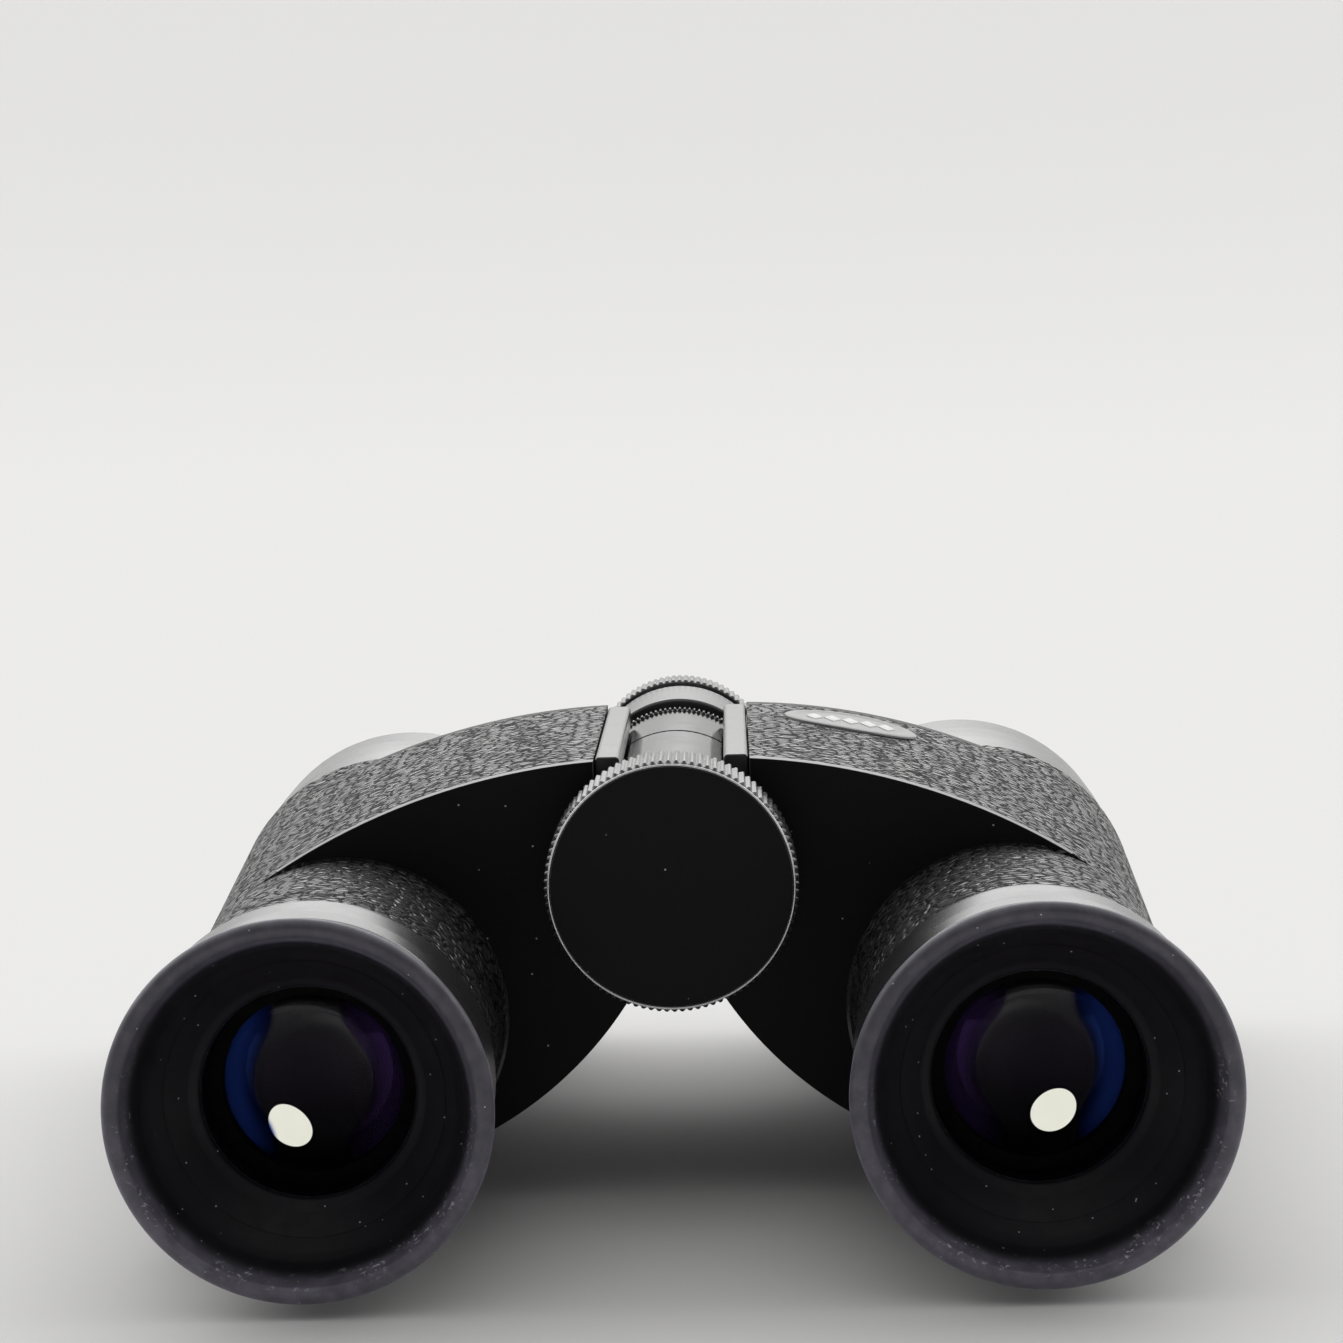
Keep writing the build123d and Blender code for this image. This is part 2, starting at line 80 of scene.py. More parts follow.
# ---------------------------------------------------------------- camera, surroundings, floor
def add_camera():
    """Low view from the eyecups' side, a little above the barrels."""
    camera_x, camera_station, camera_height = 6.14, -273.43, 69.87
    pitch, yaw, roll = 0.1165, 0.0189, -0.0262
    data = bpy.data.cameras.new("camera")
    data.sensor_width = 36.0
    data.lens = 86.84
    data.clip_start = 0.01
    camera = bpy.data.objects.new("camera", data)
    bpy.context.scene.collection.objects.link(camera)
    place = Vector((camera_x * MM, RIM_Y + camera_station * MM, BARREL["left"][1] + camera_height * MM))
    aim = Matrix.Rotation(yaw, 4, "Z") @ Matrix.Rotation(math.pi / 2 - pitch, 4, "X")
    camera.matrix_world = Matrix.Translation(place) @ aim @ Matrix.Rotation(roll, 4, "Z")
    bpy.context.scene.camera = camera


def add_node(tree, kind, inputs=None, **settings):
    """A node with its inputs set to values or linked from sockets."""
    node = tree.nodes.new(kind)
    for key, value in settings.items():
        setattr(node, key, value)
    for key, value in (inputs or {}).items():
        if isinstance(value, bpy.types.NodeSocket):
            tree.links.new(value, node.inputs[key])
        else:
            node.inputs[key].default_value = value
    return node


def ramp(tree, value, low, high, to_low=0.0, to_high=1.0):
    """Value taken smoothly from low..high to to_low..to_high, and clamped."""
    node = add_node(tree, "ShaderNodeMapRange", {
        "Value": value, "From Min": low, "From Max": high, "To Min": to_low, "To Max": to_high},
        interpolation_type="SMOOTHSTEP")
    return node.outputs["Result"]


def maths(tree, operation, first, second=0.0):
    """Result of one Math node."""
    return add_node(tree, "ShaderNodeMath", {0: first, 1: second}, operation=operation).outputs[0]


def product(tree, first, *others):
    """Product of several values."""
    for other in others:
        first = maths(tree, "MULTIPLY", first, other)
    return first


def fan(spokes):
    """Triangles from point 0 to the ring of points after it."""
    return [(0, 1 + s, 1 + (s + 1) % spokes) for s in range(spokes)]


def strip(inner, outer, spokes):
    """Quads between two rings that start at points inner and outer."""
    turn = [(s, (s + 1) % spokes) for s in range(spokes)]
    return [(inner + s, outer + s, outer + after, inner + after) for s, after in turn]


def add_surroundings():
    """Pale backdrop beyond the object, a bright overhead panel, and a dim side behind the camera."""
    dim, backdrop, panel, overhead = 0.16, 0.83, 2.5, 0.9
    behind, ahead = -0.35, 0.25
    panel_rises, panel_falls = (0.13, 0.21), (0.95, 0.75)
    overhead_rises = (0.55, 0.95)
    world = bpy.data.worlds.new("surroundings")
    bpy.context.scene.world = world
    world.use_nodes = True
    tree = world.node_tree
    tree.nodes.clear()
    where = add_node(tree, "ShaderNodeTexCoord").outputs["Generated"]
    direction = add_node(tree, "ShaderNodeSeparateXYZ", {0: where})
    beyond = ramp(tree, direction.outputs["Y"], behind, ahead)
    up = direction.outputs["Z"]
    band = product(tree, ramp(tree, up, *panel_rises), ramp(tree, up, *panel_falls))
    high = ramp(tree, up, *overhead_rises, 0.0, overhead - dim)
    beyond_light = maths(tree, "ADD", product(tree, band, panel - backdrop), backdrop - dim)
    lit = product(tree, beyond, beyond_light)
    total = maths(tree, "ADD", dim, maths(tree, "MAXIMUM", lit, high))
    background = add_node(tree, "ShaderNodeBackground", {"Color": (1, 0.997, 0.992, 1), "Strength": total})
    out = add_node(tree, "ShaderNodeOutputWorld")
    tree.links.new(background.outputs[0], out.inputs["Surface"])


def add_floor():
    """Plain pale floor in metres, flat round the object, that sweeps up far away and hides the horizon."""
    half, flat, slope, bend = 60.0, 1.5, 0.13, 4
    rings, spokes, crowding = 40, 96, 4
    verts = [(0.0, 0.0, 0.0)]
    for ring in range(1, rings + 1):
        reach = half * (ring / rings) ** crowding
        rise = slope * (math.hypot(max(reach - flat, 0), bend) - bend)
        for spoke in range(spokes):
            angle = 2 * math.pi * spoke / spokes
            verts.append((reach * math.cos(angle), reach * math.sin(angle), rise))
    faces = fan(spokes)
    for ring in range(rings - 1):
        faces += strip(1 + ring * spokes, 1 + (ring + 1) * spokes, spokes)
    mesh = bpy.data.meshes.new("floor")
    mesh.from_pydata(verts, [], faces)
    smooth(mesh)
    floor = bpy.data.objects.new("floor", mesh)
    bpy.context.scene.collection.objects.link(floor)
    paint = bpy.data.materials.new("floor_paint")
    paint.use_nodes = True
    shader = paint.node_tree.nodes["Principled BSDF"]
    shader.inputs["Base Color"].default_value = (0.667, 0.665, 0.662, 1)
    shader.inputs["Roughness"].default_value = 0.9
    shader.inputs["Specular IOR Level"].default_value = 0.0
    mesh.materials.append(paint)


# ---------------------------------------------------------------- material patterns
def new_material(name, color, roughness, **values):
    """A principled material, its constants set on the shader's own sockets."""
    material = bpy.data.materials.new(name)
    material.use_nodes = True
    shader = material.node_tree.nodes["Principled BSDF"]
    shader.inputs["Base Color"].default_value = (*color, 1)
    shader.inputs["Roughness"].default_value = roughness
    for key, value in values.items():
        shader.inputs[key.replace("_", " ")].default_value = value
    return material, material.node_tree, shader


def millimetres(tree, stretch=(1, 1, 1)):
    """Object coordinates in millimetres, each axis times its stretch."""
    scale = [s / MM for s in stretch]
    return add_node(tree, "ShaderNodeMapping", {"Vector": position(tree), "Scale": scale}).outputs[0]


def noise(tree, where, size):
    """Soft noise with features of about size millimetres."""
    return add_node(tree, "ShaderNodeTexNoise", {
        "Vector": where, "Scale": 1 / size, "Detail": 3.0, "Roughness": 0.55}).outputs[0]


def voronoi(tree, where, size, feature, randomness=1.0):
    """Distance output of a Voronoi texture with cells of about size millimetres."""
    return add_node(tree, "ShaderNodeTexVoronoi", {
        "Vector": where, "Scale": 1 / size, "Randomness": randomness}, feature=feature).outputs["Distance"]


def specks(tree, where, cell, radius):
    """1 on small scattered dots, 0 elsewhere."""
    return ramp(tree, voronoi(tree, where, cell, "F1"), radius / cell, 0.5 * radius / cell)


def mixed(tree, factor, first, second):
    """Colour between two colours."""
    node = add_node(tree, "ShaderNodeMix", {"Factor": factor}, data_type="RGBA")
    for key, value in (("A", first), ("B", second)):
        socket = next(s for s in node.inputs if s.name == key and s.type == "RGBA")
        if isinstance(value, bpy.types.NodeSocket):
            tree.links.new(value, socket)
        else:
            socket.default_value = (*value, 1)
    return next(s for s in node.outputs if s.type == "RGBA")


def vary(tree, shader, socket, value, low, high, to_low, to_high):
    """Drive a shader's socket from to_low to to_high as a value goes from low to high."""
    tree.links.new(ramp(tree, value, low, high, to_low, to_high), shader.inputs[socket])


def colour(tree, shader, factor, first, second):
    """Set the base colour between two colours."""
    tree.links.new(mixed(tree, factor, first, second), shader.inputs["Base Color"])


def bump(tree, shader, height, distance):
    """Relief of distance millimetres from a height between 0 and 1."""
    node = add_node(tree, "ShaderNodeBump", {"Height": height, "Distance": distance * MM, "Strength": 1.0})
    tree.links.new(node.outputs[0], shader.inputs["Normal"])


def position(tree):
    """Object coordinates in metres."""
    return add_node(tree, "ShaderNodeTexCoord").outputs["Object"]


def parts_of(tree, where):
    """X, Y and Z of a vector."""
    return add_node(tree, "ShaderNodeSeparateXYZ", {0: where}).outputs


def length_of(tree, where):
    """Length of a vector."""
    return add_node(tree, "ShaderNodeVectorMath", {0: where}, operation="LENGTH").outputs["Value"]


def radius_from(tree, axis):
    """Distance in millimetres from an axis along Y."""
    moved = add_node(tree, "ShaderNodeMapping", {
        "Vector": position(tree), "Location": (-axis[0], 0, -axis[1])}).outputs[0]
    flat = add_node(tree, "ShaderNodeVectorMath", {0: moved, 1: (1 / MM, 0, 1 / MM)}, operation="MULTIPLY")
    return length_of(tree, flat.outputs[0])


def barrel_radius(tree):
    """Millimetres from the nearer barrel's axis: all round, outboard of it, and above it."""
    place = parts_of(tree, position(tree))
    x, z = (c / MM for c in BARREL["right"])
    outboard = maths(tree, "SUBTRACT", product(tree, maths(tree, "ABSOLUTE", place["X"]), 1 / MM), x)
    above = maths(tree, "SUBTRACT", product(tree, place["Z"], 1 / MM), z)
    flat = add_node(tree, "ShaderNodeCombineXYZ", {0: outboard, 1: above}).outputs[0]
    return length_of(tree, flat), outboard, above


def edge_of_face(tree):
    """1 on the bevelled rim of the plates that face the eyes, 0 on their flat faces and further back."""
    where = add_node(tree, "ShaderNodeTexCoord").outputs
    facing = maths(tree, "ABSOLUTE", parts_of(tree, where["Normal"])["Y"])
    near = ramp(tree, parts_of(tree, where["Object"])["Y"], 0.01, 0.0)
    return product(tree, near, ramp(tree, facing, 0.985, 0.9))


# ---------------------------------------------------------------- materials, one function each
def leatherette():
    """Black grained covering of small drawn-out pebbles with deep creases between them, the creases
    darkened with painted shade.
    """
    material, tree, shader = new_material("leatherette", (0.02, 0.02, 0.021), 0.4)
    drift = add_node(tree, "ShaderNodeTexNoise", {"Vector": millimetres(tree), "Scale": 0.5, "Detail": 0.0})
    where = add_node(tree, "ShaderNodeVectorMath", {
        0: millimetres(tree, (1, 1.7, 1)), 1: drift.outputs["Color"]}, operation="ADD").outputs[0]
    pebbles = ramp(tree, voronoi(tree, where, 1.4, "DISTANCE_TO_EDGE", 0.8), 0.0, 0.3)
    fine = noise(tree, millimetres(tree), 0.35)
    worn = noise(tree, millimetres(tree), 9.0)
    height = maths(tree, "ADD", pebbles, product(tree, fine, 0.04))
    bump(tree, shader, height, 0.36)
    # painted shade: the colour darkens from the pebbles' crowns down to the crease colour, standing for the
    # shade that falls in the creases
    painted_crease_shade, crown, rubbed = (0.003, 0.003, 0.0035), (0.036, 0.036, 0.038), (0.040, 0.039, 0.040)
    tone = mixed(tree, pebbles, painted_crease_shade, crown)
    colour(tree, shader, ramp(tree, worn, 0.35, 0.75, 0.0, 0.35), tone, rubbed)
    vary(tree, shader, "Roughness", pebbles, 0.0, 0.8, 0.7, 0.25)
    vary(tree, shader, "Specular IOR Level", pebbles, 0.0, 0.6, 0.05, 0.9)
    return material


def black_casting():
    """Glossy stove-enamelled casting with a trace of orange peel."""
    enamel = (0.012, 0.012, 0.0125)
    material, tree, shader = new_material("black_casting", enamel, 0.1)
    where = millimetres(tree)
    bump(tree, shader, noise(tree, where, 1.4), 0.002)
    vary(tree, shader, "Roughness", noise(tree, where, 3.0), 0.3, 0.7, 0.09, 0.13)
    colour(tree, shader, specks(tree, where, 2.4, 0.05), enamel, (0.30, 0.29, 0.28))
    return material


def matt_black_plate():
    """Fine matt black paint with a paler bevelled rim, partly worn paint and partly a painted highlight,
    and a few grains of dust.
    """
    # the rubbed colour of the rim is partly worn paint and partly a painted highlight along the bevel
    paint, rubbed = (0.0032, 0.0030, 0.0033), (0.035, 0.034, 0.038)
    material, tree, shader = new_material("matt_black_plate", paint, 0.45)
    where = millimetres(tree)
    rim = edge_of_face(tree)
    bump(tree, shader, noise(tree, where, 0.12), 0.008)
    dust = specks(tree, where, 2.3, 0.11)
    colour(tree, shader, dust, mixed(tree, rim, paint, rubbed), (0.5, 0.47, 0.48))
    vary(tree, shader, "Roughness", rim, 0.0, 1.0, 0.45, 0.3)
    vary(tree, shader, "Specular IOR Level", rim, 0.0, 1.0, 0.12, 0.6)
    return material


def satin_rail():
    """Black lacquered rail, drawn lengthwise."""
    lacquer = (0.03, 0.03, 0.03)
    material, tree, shader = new_material("satin_rail", lacquer, 0.2)
    where = millimetres(tree)
    bump(tree, shader, noise(tree, millimetres(tree, (1, 0.04, 1)), 0.3), 0.0006)
    vary(tree, shader, "Roughness", noise(tree, where, 5.0), 0.3, 0.7, 0.19, 0.23)
    colour(tree, shader, specks(tree, where, 2.2, 0.06), lacquer, (0.2, 0.2, 0.2))
    return material


def satin_black():
    """Black anodised aluminium with faint turning lines."""
    anodising = (0.022, 0.021, 0.022)
    material, tree, shader = new_material("satin_black", anodising, 0.24, Specular_IOR_Level=0.6)
    where = millimetres(tree)
    bump(tree, shader, noise(tree, millimetres(tree, (0.02, 1, 0.02)), 0.2), 0.0008)
    vary(tree, shader, "Roughness", noise(tree, where, 6.0), 0.3, 0.7, 0.22, 0.27)
    colour(tree, shader, specks(tree, where, 2.8, 0.06), anodising, (0.3, 0.29, 0.28))
    return material


def anodised_black():
    """Deep black cap with faint turning circles and a little dust."""
    black = (0.0014, 0.0013, 0.0014)
    material, tree, shader = new_material("anodised_black", black, 0.4, Specular_IOR_Level=0.05)
    rings = add_node(tree, "ShaderNodeCombineXYZ", {0: radius_from(tree, HINGE)}).outputs[0]
    bump(tree, shader, noise(tree, rings, 0.16), 0.01)
    where = millimetres(tree)
    colour(tree, shader, specks(tree, where, 3.0, 0.1), black, (0.42, 0.40, 0.42))
    vary(tree, shader, "Roughness", noise(tree, where, 4.0), 0.3, 0.7, 0.34, 0.5)
    return material


def eyecup_rubber():
    """Soft black rubber, scuffed and dusty, with painted light and sheen on its rolled lip that grow
    towards the bottom, and darker down its funnel.
    """
    material, tree, shader = new_material(
        "eyecup_rubber", (0.010, 0.010, 0.013), 0.5, Specular_IOR_Level=0.45, Sheen_Weight=0.22,
        Sheen_Roughness=0.4, Sheen_Tint=(0.80, 0.79, 1.0, 1.0))
    where = millimetres(tree)
    radius, _, above = barrel_radius(tree)
    front = ramp(tree, parts_of(tree, where)["Y"], RIM_Y / MM + 2.6, RIM_Y / MM + 1.0)
    lip = product(tree, front, ramp(tree, radius, 13.4, 15.8))
    # paler towards the bottom: the painted light on the lip grows downwards
    paler_towards_bottom = ramp(tree, above, 8.0, -13.0, 0.5, 1.0)
    cloudy = ramp(tree, noise(tree, where, 1.6), 0.3, 0.75, 0.55, 1.0)
    crumbs = ramp(tree, noise(tree, millimetres(tree, (0.8, 1.0, 1.2)), 0.42), 0.57, 0.66)
    patches = ramp(tree, noise(tree, where, 2.6), 0.46, 0.6)
    inner_edge = product(tree, ramp(tree, radius, 14.0, 14.7), ramp(tree, radius, 16.3, 15.4))
    low_down = ramp(tree, above, 6.0, -3.0, 0.1, 1.0)
    scuffs = product(tree, crumbs, patches, inner_edge, front, low_down)
    dust = maths(tree, "MAXIMUM", specks(tree, where, 1.5, 0.1), scuffs)
    cloud = mixed(tree, noise(tree, where, 6.0), (0.0035, 0.0028, 0.004), (0.008, 0.0064, 0.0095))
    # painted light and sheen: the lip's colour turns a paler bluish grey over the dark clouded rubber,
    # standing for the light it catches
    tone = mixed(tree, product(tree, lip, cloudy, paler_towards_bottom), cloud, (0.115, 0.108, 0.138))
    colour(tree, shader, product(tree, dust, 0.75), tone, (0.50, 0.50, 0.55))
    bump(tree, shader, noise(tree, where, 0.5), 0.008)
    vary(tree, shader, "Roughness", noise(tree, where, 1.5), 0.3, 0.7, 0.42, 0.52)
    vary(tree, shader, "Specular IOR Level", lip, 0.0, 1.0, 0.22, 0.5)
    vary(tree, shader, "Sheen Weight", lip, 0.0, 1.0, 0.05, 0.22)
    return material


def knurled_black():
    """Black finish on the knurled wheels, rubbed a little paler in patches."""
    material, tree, shader = new_material(
        "knurled_black", (0.03, 0.03, 0.032), 0.16, Metallic=0.3, Specular_IOR_Level=0.7)
    where = millimetres(tree)
    rubbed = ramp(tree, noise(tree, where, 1.6), 0.4, 0.7)
    colour(tree, shader, rubbed, (0.028, 0.028, 0.030), (0.052, 0.050, 0.050))
    vary(tree, shader, "Roughness", noise(tree, where, 0.5), 0.3, 0.7, 0.12, 0.22)
    bump(tree, shader, noise(tree, where, 0.15), 0.002)
    return material


def coated_glass():
    """Dense optical glass with a blue-violet tint to its reflections away from the eyepieces; in the
    eyepieces a blue crescent outboard and a violet one inboard are painted reflections, set into the
    glass's colour, reflection tint and clearness.
    """
    clear = (0.985, 0.985, 0.98)
    material, tree, shader = new_material(
        "coated_glass", clear, 0.0, IOR=1.9, Transmission_Weight=1.0, Specular_IOR_Level=0.03)
    radius, outboard, _ = barrel_radius(tree)
    ocular = ramp(tree, parts_of(tree, position(tree))["Y"], RIM_Y + 0.045, RIM_Y + 0.035)
    # painted reflection: fixed blue and violet crescents in the eyepiece lenses stand for reflections seen
    # in them
    painted_reflection_zone = product(tree, ocular, ramp(tree, radius, 5.0, 7.6))
    outer = product(tree, painted_reflection_zone, ramp(tree, outboard, 3.2, 6.8))
    inner = product(tree, painted_reflection_zone, ramp(tree, outboard, -2.0, -6.0))
    tint = mixed(tree, ocular, (0.10, 0.09, 0.26), (0.018, 0.015, 0.024))
    tint = mixed(tree, inner, tint, (0.12, 0.06, 0.24))
    tree.links.new(mixed(tree, outer, tint, (0.05, 0.16, 0.75)), shader.inputs["Specular Tint"])
    body = mixed(tree, ramp(tree, inner, 0.0, 0.06), clear, (0.10, 0.05, 0.20))
    colour(tree, shader, ramp(tree, outer, 0.0, 0.06), body, (0.03, 0.08, 0.42))
    # the painted reflections also take clearness from the glass so that their colour shows
    painted_reflection_opacity = maths(tree, "ADD", product(tree, outer, 0.38), product(tree, inner, 0.16))
    tree.links.new(maths(tree, "SUBTRACT", 1.0, painted_reflection_opacity), shader.inputs["Transmission Weight"])
    return material


def prism_glass():
    """Clear crown glass with a faint green depth."""
    return new_material("prism_glass", (0.93, 0.97, 0.94), 0.0, IOR=1.517, Transmission_Weight=1.0)[0]


def metal(name, dark, light, roughness, size):
    """Bare metal, clouded between two tones."""
    material, tree, shader = new_material(name, light, roughness, Metallic=1.0)
    where = millimetres(tree)
    colour(tree, shader, noise(tree, where, size), dark, light)
    cloud = noise(tree, where, size / 3)
    vary(tree, shader, "Roughness", cloud, 0.3, 0.7, 0.8 * roughness, 1.3 * roughness)
    bump(tree, shader, noise(tree, where, 0.2), 0.004)
    return material


def badge_silver(name, dark, light):
    """Silver-grey lacquer, a little clouded."""
    material, tree, shader = new_material(name, light, 0.5, Specular_IOR_Level=0.3)
    where = millimetres(tree)
    colour(tree, shader, noise(tree, where, 0.8), dark, light)
    bump(tree, shader, noise(tree, where, 0.2), 0.004)
    return material


def baffle_black():
    """Dead black of the insides of the eyepieces."""
    material, tree, shader = new_material(
        "baffle_black", (0.002, 0.002, 0.002), 0.8, Specular_IOR_Level=0.05)
    vary(tree, shader, "Roughness", noise(tree, millimetres(tree), 1.0), 0.3, 0.7, 0.7, 0.9)
    return material


def window_light():
    """Glowing disc, painted light that stands in for the daylight arriving through the prisms, a little
    uneven.
    """
    material, tree, shader = new_material(
        "window_light", (0, 0, 0), 1.0, Specular_IOR_Level=0.0, Emission_Strength=0.86)
    cloud = noise(tree, millimetres(tree), 1.6)
    daylight = mixed(tree, cloud, (0.88, 0.89, 0.76), (0.97, 0.97, 0.88))
    tree.links.new(daylight, shader.inputs["Emission Color"])
    return material


MATERIALS = {
    "leatherette": leatherette(),
    "black_casting": black_casting(),
    "matt_black_plate": matt_black_plate(),
    "satin_rail": satin_rail(),
    "satin_black": satin_black(),
    "anodised_black": anodised_black(),
    "eyecup_rubber": eyecup_rubber(),
    "knurled_black": knurled_black(),
    "coated_glass": coated_glass(),
    "prism_glass": prism_glass(),
    "brass_drive": metal("brass_drive", (0.50, 0.33, 0.12), (0.78, 0.58, 0.26), 0.28, 3.0),
    "plain_steel": metal("plain_steel", (0.42, 0.42, 0.43), (0.62, 0.62, 0.63), 0.25, 2.0),
    "blackened_steel": metal("blackened_steel", (0.03, 0.03, 0.032), (0.07, 0.07, 0.072), 0.3, 2.0),
    "badge_metal": badge_silver("badge_metal", (0.26, 0.26, 0.265), (0.34, 0.34, 0.335)),
}
BADGE_RELIEF = badge_silver("badge_relief", (0.52, 0.52, 0.52), (0.62, 0.62, 0.61))
BAFFLE = baffle_black()
EXIT_PUPIL_GLOW = window_light()
for node, obj in frame["nodes"].items():
    obj.data.materials.clear()
    obj.data.materials.append(MATERIALS[SLOT_OF[node]])
for side in SIDES:
    for inner in ("eyepiece_sleeve", "eye_lens_ring", "lens_spacer", "field_stop"):
        frame["nodes"][f"{side}_{inner}"].data.materials[0] = BAFFLE


# ---------------------------------------------------------------- piece makers
def settle(piece, stands_for, material=None):
    """Give a piece its body and its finish, and hide the CAD node that it stands for."""
    piece.data.materials.clear()
    piece.data.materials.append(material or MATERIALS[SLOT_OF[stands_for]])
    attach(piece, BODY_OF[stands_for])
    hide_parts(stands_for)
    return piece


def smooth(mesh, angle=38):
    """Smooth shading that breaks at sharp edges."""
    for polygon in mesh.polygons:
        polygon.use_smooth = True
    mesh.set_sharp_from_angle(angle=math.radians(angle))


def in_scene(name, mesh):
    """An object of a mesh, its shading weighted by the size of its faces."""
    piece = bpy.data.objects.new(name, mesh)
    bpy.context.scene.collection.objects.link(piece)
    weighted = piece.modifiers.new("weighted", "WEIGHTED_NORMAL")
    weighted.keep_sharp = True
    return piece


def new_piece(name, verts, faces, angle=38):
    """An object from metres and faces, with its faces turned outwards."""
    mesh = bpy.data.meshes.new(name)
    mesh.from_pydata(verts, [], faces)
    work = bmesh.new()
    work.from_mesh(mesh)
    bmesh.ops.recalc_face_normals(work, faces=work.faces)
    work.to_mesh(mesh)
    work.free()
    smooth(mesh, angle)
    return in_scene(name, mesh)


def rounded(points, radius, steps=4):
    """Closed outline with its corners rounded, apart from those on the axis."""
    longest_cut = 0.42
    out = []
    for i, point in enumerate(points):
        corner = Vector(point)
        before, after = Vector(points[i - 1]) - corner, Vector(points[(i + 1) % len(points)]) - corner
        if corner.y < ON_AXIS:
            out.append(corner)
            continue
        cut = min(radius, longest_cut * before.length, longest_cut * after.length)
        start, end = corner + before.normalized() * cut, corner + after.normalized() * cut
        for step in range(steps + 1):
            t = step / steps
            out.append(start * (1 - t) ** 2 + corner * (2 * t * (1 - t)) + end * t**2)
    return out


def ridges(count, depth, outer):
    """Radius limit round a knurled rim, by share of the turn."""
    sharpness = 1.4

    def limit(turn):
        groove = 0.5 - 0.5 * math.cos(2 * math.pi * turn * count)
        return outer - depth * groove**sharpness
    return limit


def turned(name, outline, axis, segments=192, limit=None):
    """A lathe-turned piece from a closed outline of (station, radius) points."""
    x, z = axis
    verts, rows = [], []
    for station, radius in outline:
        y = RIM_Y + station * MM
        if radius < ON_AXIS:
            rows.append([len(verts)] * segments)
            verts.append((x, y, z))
            continue
        rows.append(range(len(verts), len(verts) + segments))
        for step in range(segments):
            turn = step / segments
            r = (min(radius, limit(turn)) if limit else radius) * MM
            verts.append((x + r * math.cos(2 * math.pi * turn), y, z + r * math.sin(2 * math.pi * turn)))
    faces = []
    for i, row in enumerate(rows):
        after = rows[(i + 1) % len(rows)]
        if row[0] == row[1] and after[0] == after[1]:
            continue
        for step in range(segments):
            follow = (step + 1) % segments
            corners = [row[step], row[follow], after[follow], after[step]]
            faces.append(list(dict.fromkeys(corners)))
    return new_piece(name, verts, faces)


def bevelled(node, name, width):
    """A copy of a CAD node with its sharp edges rounded."""
    weld, flat_angle, sharp_angle = 1e-6, math.radians(0.3), math.radians(28)
    mesh = frame["nodes"][node].data.copy()
    mesh.name = name
    work = bmesh.new()
    work.from_mesh(mesh)
    bmesh.ops.remove_doubles(work, verts=work.verts, dist=weld)
    bmesh.ops.dissolve_limit(work, angle_limit=flat_angle, verts=work.verts, edges=work.edges)
    sharp = [e for e in work.edges if len(e.link_faces) == 2 and e.calc_face_angle() > sharp_angle]
    bmesh.ops.bevel(work, geom=sharp, offset=width * MM, segments=3, profile=0.5, affect="EDGES",
                    clamp_overlap=True)
    bmesh.ops.triangulate(work, faces=[f for f in work.faces if len(f.verts) > 4])
    work.to_mesh(mesh)
    work.free()
    smooth(mesh, 40)
    return in_scene(name, mesh)


# ---------------------------------------------------------------- one barrel
def eyecup(side):
    """Rubber cup with a rolled lip, a flared funnel and a floor round the eye lens."""
    node = f"{side}_eyecup"
    start, end, radius = span(node)
    roll, roll_start, roll_turn, roll_steps = 0.9, 235, 145, 12
    lip = []
    for step in range(roll_steps + 1):
        angle = math.radians(roll_start - roll_turn * step / roll_steps)
        lip.append((start + roll + roll * math.cos(angle), radius - roll + roll * math.sin(angle)))
    skirt_end, sleeve, eye_hole = 5.0, 14.5, 9.6
    wall = [(1.9, radius - 0.12), (3.2, radius - 0.5), (4.6, 16.2), (skirt_end, 16.0), (skirt_end, sleeve),
            (end, sleeve), (end, eye_hole), (end - 1.0, eye_hole), (7.3, 10.4)]
    funnel = [(5.6, 12.3), (4.2, 13.6), (3.4, 14.2), (2.2, 14.75), (1.2, 15.2)]
    first_corner = 5
    outline = lip + rounded(wall, 0.35)[first_corner:] + rounded(funnel, 0.3)
    settle(turned(f"{side}_eyecup_rubber", outline, BARREL[side], 256), node)


def ocular_ring(side):
    """Ring that carries the eyecup: a smooth band that swells a little towards the leatherette."""
    node = f"{side}_ocular_ring"
    start, end, radius = span(node)
    seat, bore, step = 14.6, 13.05, 9.1
    outline = [(start, seat), (start, radius - 0.6), (start + 0.8, radius - 0.25),
               (start + 3.4, radius - 0.1), (end - 1.2, radius), (end - 0.4, radius), (end, radius - 0.3),
               (end, bore), (step, bore), (step, seat)]
    settle(turned(f"{side}_ocular_collar", rounded(outline, 0.18), BARREL[side], 256), node)


def objective_bell(side):
    """Flared bell, its mouth rounded and its barrel stepped over the leatherette."""
    node = f"{side}_objective_bell"
    start, end, radius = span(node)
    bore, spigot, shoulder = 15.0, 15.9, 88.7
    mouth, mouth_end, cell, cell_end = 17.2, 105.4, 16.6, 98.0
    outline = [(start, bore), (start, spigot), (shoulder, spigot), (shoulder, radius - 0.5),
               (89.4, radius - 0.3), (95.7, radius - 0.12), (102.0, radius), (end - 0.6, radius),
               (end, radius - 0.5), (end, mouth + 0.4), (end - 0.4, mouth), (mouth_end, mouth),
               (mouth_end, cell), (cell_end, cell), (cell_end, bore)]
    settle(turned(f"{side}_bell", rounded(outline, 0.3), BARREL[side], 256), node)


